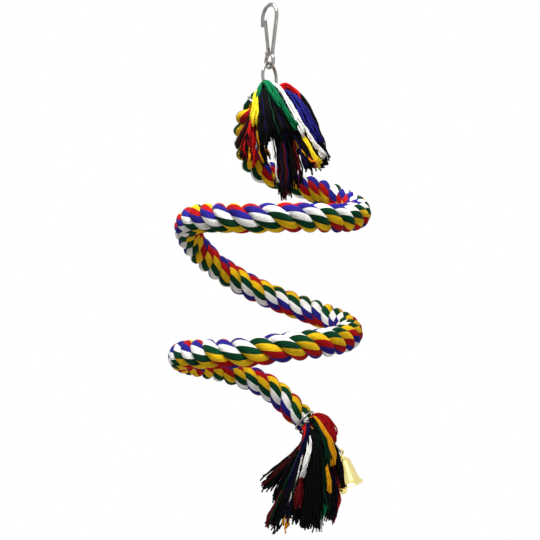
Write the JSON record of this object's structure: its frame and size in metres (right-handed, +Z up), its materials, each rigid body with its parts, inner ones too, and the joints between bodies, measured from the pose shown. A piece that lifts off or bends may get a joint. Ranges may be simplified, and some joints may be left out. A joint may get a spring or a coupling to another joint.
{
  "type": "spiral rope bird perch",
  "caption": "Spiral bird perch of coloured cotton rope over a bendable wire core, hung from a snap hook and ring, with frayed tassel ends and a small chained bell.",
  "frame": {"origin": "inside top of the hook's bow, where the bar or cord that carries the perch lies", "axes": "+Z up along the line that the perch hangs on, +X to the right and +Y away from whoever faces the bell side"},
  "size_m": [0.1492, 0.144, 0.4113],
  "materials": {
    "nickel_plated_steel": "bright nickel plate",
    "spring_steel": "plain drawn wire",
    "core_steel": "galvanised bendable wire",
    "cotton_rope": "laid cotton in coloured yarns",
    "cotton_red": "loose cotton yarn",
    "cotton_green": "loose cotton yarn",
    "cotton_blue": "loose cotton yarn",
    "cotton_yellow": "loose cotton yarn",
    "cotton_white": "loose cotton yarn",
    "polished_brass": "polished and lacquered"
  },
  "bodies": {
    "hook": {"hook_body": "nickel_plated_steel", "gate_rivet": "nickel_plated_steel"},
    "gate": {"hook_gate": "nickel_plated_steel", "gate_plunger": "spring_steel", "gate_spring": "spring_steel"},
    "ring": {"hanging_ring": "nickel_plated_steel"},
    "perch": {"laid_rope": "cotton_rope", "core_wire": "core_steel", "top_clamp_ring": "nickel_plated_steel", "upper_left_lock": "cotton_red", "upper_front_lock": "cotton_green", "upper_middle_lock": "cotton_green", "upper_right_lock": "cotton_blue", "upper_outer_lock": "cotton_white"},
    "tail": {"bottom_clamp_ring": "nickel_plated_steel", "lower_right_lock": "cotton_yellow", "lower_front_lock": "cotton_green", "lower_middle_lock": "cotton_blue", "lower_left_lock": "cotton_white", "lower_outer_lock": "cotton_red"},
    "upper_link": {"upper_chain_link": "nickel_plated_steel"},
    "lower_link": {"lower_chain_link": "nickel_plated_steel"},
    "bell": {"bell_shell": "polished_brass", "bell_loop": "polished_brass"},
    "clapper": {"clapper_wire": "polished_brass", "clapper_ball": "polished_brass"}
  },
  "joints": [
    {"name": "gate_hinge", "type": "hinge", "parent": "hook", "child": "gate", "pos_m": [-0.00087, 0.00125, -0.03451], "axis": [0.8192, 0.5736, 0], "range_deg": [0, 25], "stiffness_Nm_per_rad": 0.03, "springref_deg": -11.46},
    {"name": "ring_swing", "type": "hinge", "parent": "hook", "child": "ring", "pos_m": [0, 0, -0.0455], "axis": [0.5736, -0.8192, 0], "range_deg": [-45, 45]},
    {"name": "perch_swing", "type": "hinge", "parent": "ring", "child": "perch", "pos_m": [0, 0, -0.0637], "axis": [0.4695, 0.8829, 0], "range_deg": [-20, 20]},
    {"name": "coil_stretch", "type": "slide", "parent": "perch", "child": "tail", "axis": [0, 0, -1], "range_m": [-0.02, 0.03], "stiffness_N_per_m": 160, "springref_m": -0.001, "deforming": ["laid_rope", "core_wire"]},
    {"name": "upper_link_swing", "type": "hinge", "parent": "tail", "child": "upper_link", "pos_m": [0.03868, 0.0413, -0.3279], "axis": [0.1564, -0.9877, 0], "range_deg": [0, 35]},
    {"name": "lower_link_swing", "type": "hinge", "parent": "upper_link", "child": "lower_link", "pos_m": [0.04803, 0.04271, -0.33178], "axis": [0.1564, -0.9877, 0], "range_deg": [0, 45]},
    {"name": "bell_swing", "type": "hinge", "parent": "lower_link", "child": "bell", "pos_m": [0.0567, 0.04408, -0.34344], "axis": [0.1564, -0.9877, 0], "range_deg": [0, 45]},
    {"name": "clapper_swing", "type": "hinge", "parent": "bell", "child": "clapper", "pos_m": [0.05859, 0.04408, -0.35101], "axis": [0, -1, 0], "range_deg": [-8, 36]}
  ]
}
